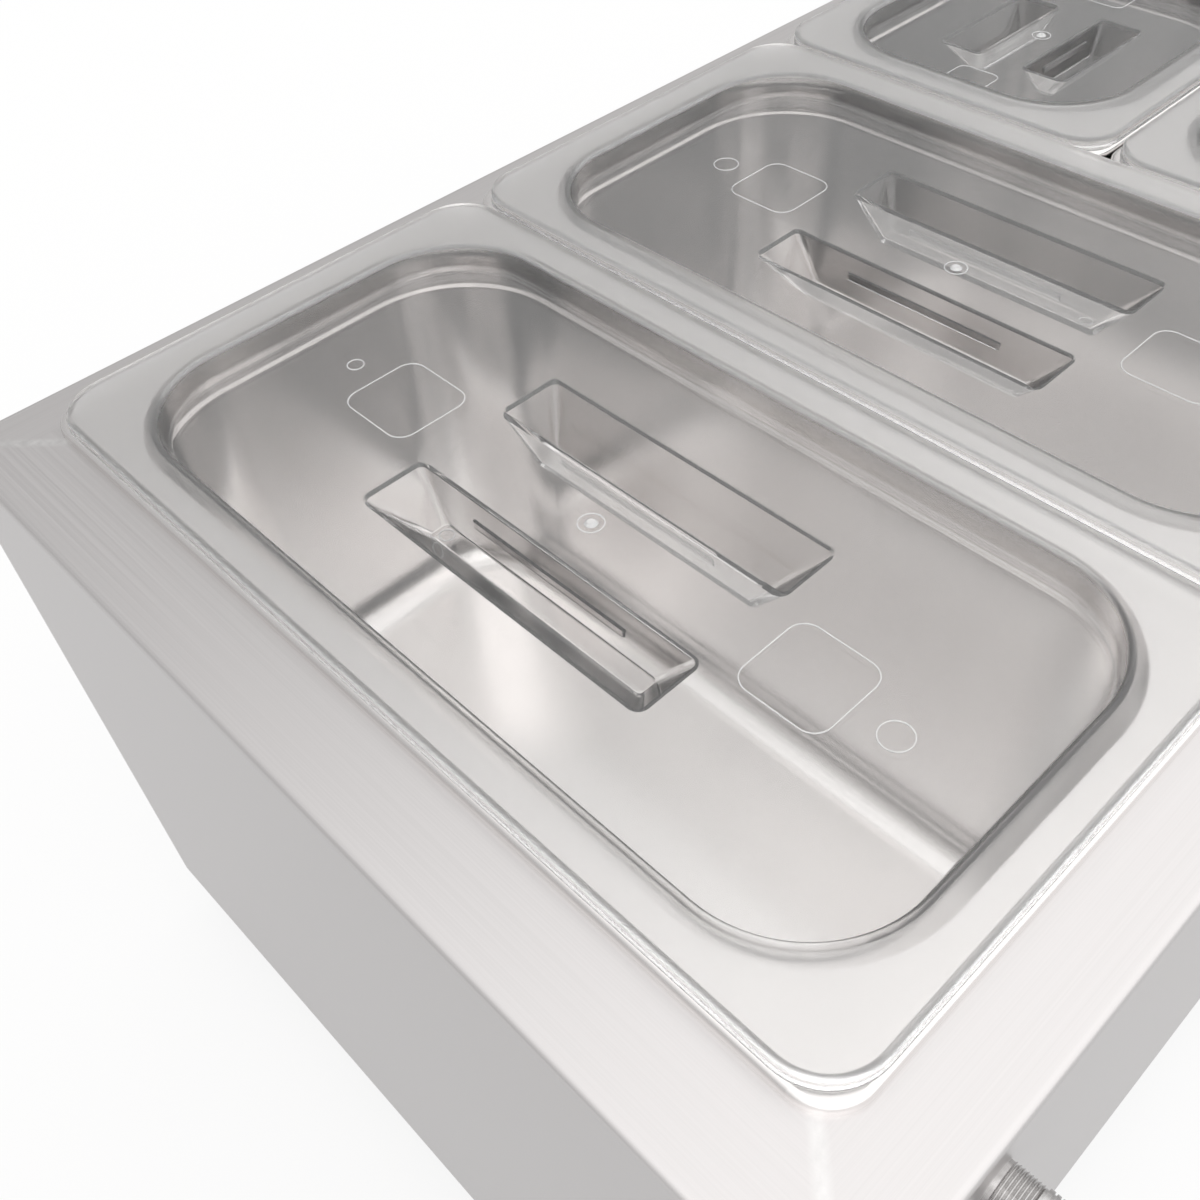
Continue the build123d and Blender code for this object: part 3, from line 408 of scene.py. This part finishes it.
# %% Thread on the stud
def finish_piece(name, mesh_work, finish, body):
    """Turn a bmesh into a piece that rides on a body."""
    bmesh.ops.remove_doubles(mesh_work, verts=mesh_work.verts, dist=1e-7)
    bmesh.ops.recalc_face_normals(mesh_work, faces=mesh_work.faces)
    mesh = bpy.data.meshes.new(name)
    mesh_work.to_mesh(mesh)
    mesh_work.free()
    mesh.materials.append(finish)
    piece = bpy.data.objects.new(name, mesh)
    scene.collection.objects.link(piece)
    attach(piece, body)


thread_pitch = 0.00095
thread_rise = 0.0004
thread_sink = 0.0001
thread_start = 0.0002
thread_room = 0.0008
turn_steps = 40
stud_low, stud_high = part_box("bonding_stud")
ring_low, ring_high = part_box("bonding_ring")
stud_axis = Vector(((stud_low[0] + stud_high[0]) / 2, stud_low[1], (stud_low[2] + stud_high[2]) / 2))
stud_radius = (stud_high[0] - stud_low[0]) / 2
shoulder = ring_low[1] - stud_low[1]
turns = int((shoulder - thread_room) / thread_pitch)
root = stud_radius - thread_sink
crest = stud_radius + thread_rise
work = bmesh.new()
profile = [(root, 0.0), (crest, thread_pitch / 2), (root, thread_pitch)]
tooth = [work.verts.new(stud_axis + Vector((out, thread_start + along, 0))) for out, along in profile]
tooth_edges = [work.edges.new((tooth[i], tooth[(i + 1) % 3])) for i in range(3)]
bmesh.ops.spin(work, geom=tooth + tooth_edges, cent=stud_axis, axis=(0, 1, 0),
               dvec=(0, thread_pitch / turn_steps, 0), angle=2 * math.pi * turns, steps=turn_steps * turns)
bmesh.ops.holes_fill(work, edges=[edge for edge in work.edges if edge.is_boundary], sides=3)
finish_piece("stud_thread", work, stud_steel, "body")
print("thread turns:", turns)

# %% [markdown]
# Moulded lids carry small marks: two raised frames, the stub where the plastic entered the
# mould, and the rings that the ejector pins left. They could be a bump, but a bump doesn't bend
# light at its edges. So the stub is a small cone, and each frame or ring is a thin raised line,
# made by insetting a flat shape and pulling the border up by a quarter of a millimetre.


# %% Raised lines
def lift(work, faces, rise):
    """Pull copies of flat faces up, with walls between."""
    lifted = bmesh.ops.extrude_face_region(work, geom=faces, use_keep_orig=True)["geom"]
    verts = [part for part in lifted if isinstance(part, bmesh.types.BMVert)]
    bmesh.ops.translate(work, vec=(0, 0, rise), verts=verts)


def raise_border(work, plate, line, rise):
    """Inset a flat plate, drop its middle and give the border a height."""
    inset = bmesh.ops.inset_region(work, faces=plate, thickness=line, use_boundary=True, use_even_offset=True)
    bmesh.ops.delete(work, geom=plate, context="FACES")
    lift(work, inset["faces"], rise)


def rounded_plate(work, wide, deep, corner, segments):
    """Flat rounded rectangle about the origin; gives its face."""
    made = bmesh.ops.create_grid(work, x_segments=1, y_segments=1, size=0.5)["verts"]
    bmesh.ops.scale(work, vec=(wide, deep, 1), verts=made)
    rounded = bmesh.ops.bevel(work, geom=made, offset=corner, segments=segments, profile=0.5,
                              affect="VERTICES", material=-1)
    return list({face for vert in rounded["verts"] for face in vert.link_faces})


def raised_frame(work, centre, wide, deep, corner, line, rise):
    """Raised outline of a rounded rectangle."""
    plate = rounded_plate(work, wide, deep, corner, 8)
    bmesh.ops.translate(work, vec=centre, verts=list({vert for face in plate for vert in face.verts}))
    raise_border(work, plate, line, rise)


def raised_ring(work, centre, radius, line, rise):
    """Raised circle."""
    made = bmesh.ops.create_circle(work, cap_ends=True, segments=40, radius=radius)["verts"]
    bmesh.ops.translate(work, vec=centre, verts=made)
    raise_border(work, list({face for vert in made for face in vert.link_faces}), line, rise)


# %% [markdown]
# All four lids have the same recess, so their marks lie at one height. The two sizes of lid
# differ in the room around the pockets, and so in the places of the frames. One of the large
# lids lies turned round on its pan, and its marks turn with it.

# %% Moulded marks on the lids
recess_depth = 0.0086
lid_wall = 0.0022
mark_line = 0.00035
mark_rise = 0.00025
mark_lift = 0.00002
stub_height = 0.0008
stub_foot = 0.0021
stub_tip = 0.0012
gate_ring = (0.0, 0.0, 0.0042)
pocket_ring = (0.0233, -0.0415, 0.0026)
frame_places = {
    "third": [(0.001, -0.0863, 0.030, 0.0315), (0.001, 0.0828, 0.0295, 0.0295)],
    "sixth": [(-0.055, 0.0, 0.020, 0.024), (0.055, 0.0, 0.020, 0.020)],
}
frame_corner = {"third": 0.006, "sixth": 0.004}
ring_places = {
    "third": [gate_ring, (0.001, -0.114, 0.003), (0.001, 0.1105, 0.005)],
    "sixth": [gate_ring],
}
panel_z = lid_top - recess_depth + mark_lift
for place in places:
    size = place.split("_")[0]
    turn = -1 if place == "third_middle" else 1
    low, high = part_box(f"lid_{place}")
    centre = Vector(((low[0] + high[0]) / 2, (low[1] + high[1]) / 2, panel_z))
    work = bmesh.new()
    for x, y, wide, deep in frame_places[size]:
        middle = centre + turn * Vector((x, y, 0))
        raised_frame(work, middle, wide, deep, frame_corner[size], mark_line, mark_rise)
    stub = bmesh.ops.create_cone(work, cap_ends=True, segments=24, radius1=stub_foot, radius2=stub_tip,
                                 depth=stub_height)
    bmesh.ops.translate(work, vec=centre + Vector((0, 0, stub_height / 2)), verts=stub["verts"])
    for x, y, radius in ring_places[size]:
        raised_ring(work, centre + turn * Vector((x, y, 0)), radius, mark_line, mark_rise)
    if size == "third":
        x, y, radius = pocket_ring
        pocket_floor = low[2] + lid_wall + mark_lift - panel_z
        raised_ring(work, centre + Vector((turn * x, turn * y, pocket_floor)), radius, mark_line, mark_rise)
    finish_piece(f"marks_{place}", work, lid_frost, f"lid_{place}")
print("lid marks:", len(places))

# %% [markdown]
# The controls are marked so that a hand can read them: a white line on the knob, a bar and a
# ring on the rocker. Such marks are printed or inlaid, so they are thin plates on the face that
# carries them. The rocker's two faces slope, and their own normals say how a mark has to lie.
# Knob and rocker stand at one height, so the middle of the knob also parts the rocker's faces.

# %% Marks on the controls
ink_gap = 0.00005
ink_rise = 0.00015
pointer_out = 0.0085
pointer_bar = (0.0018, 0.0095, 0.0007)
off_ring = (0.0021, 0.0006)
on_bar = (0.0008, 0.0042, 0.0002)
front_facing = -0.8
ridge_half = 0.0005


def raised_bar(work, wide, deep, corner, rise):
    """Thin plate with rounded corners, flat on the XY plane."""
    lift(work, rounded_plate(work, wide, deep, corner, 4), rise)


def lay_on(work, place, normal):
    """Move a mark from the XY plane to just above a face that looks to the front."""
    side = Vector((1, 0, 0))
    axes = Matrix((side, normal.cross(side), normal)).transposed()
    move = Matrix.Translation(place + normal * ink_gap) @ axes.to_4x4()
    bmesh.ops.transform(work, matrix=move, verts=work.verts)


knob_low, knob_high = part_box("thermostat_knob")
knob_front = Vector(((knob_low[0] + knob_high[0]) / 2, knob_low[1], (knob_low[2] + knob_high[2]) / 2))
work = bmesh.new()
raised_bar(work, *pointer_bar, mark_rise)
lay_on(work, knob_front + Vector((0, 0, pointer_out)), Vector((0, -1, 0)))
finish_piece("knob_pointer", work, mark_white, "knob")

front_faces = [face for face in nodes["switch_rocker"].data.polygons if face.normal.y < front_facing]
for name, side in (("rocker_off_mark", 1), ("rocker_on_mark", -1)):
    half = [face for face in front_faces if side * (face.center.z - knob_front.z) > ridge_half]
    area = sum(face.area for face in half)
    place = sum((face.center * face.area for face in half), Vector()) / area
    normal = sum((face.normal * face.area for face in half), Vector()).normalized()
    work = bmesh.new()
    if side > 0:
        raised_ring(work, Vector(), *off_ring, ink_rise)
    else:
        raised_bar(work, *on_bar, ink_rise)
    lay_on(work, place, normal)
    finish_piece(name, work, mark_white, "rocker")
    print(name, "at", tuple(round(v, 4) for v in place))
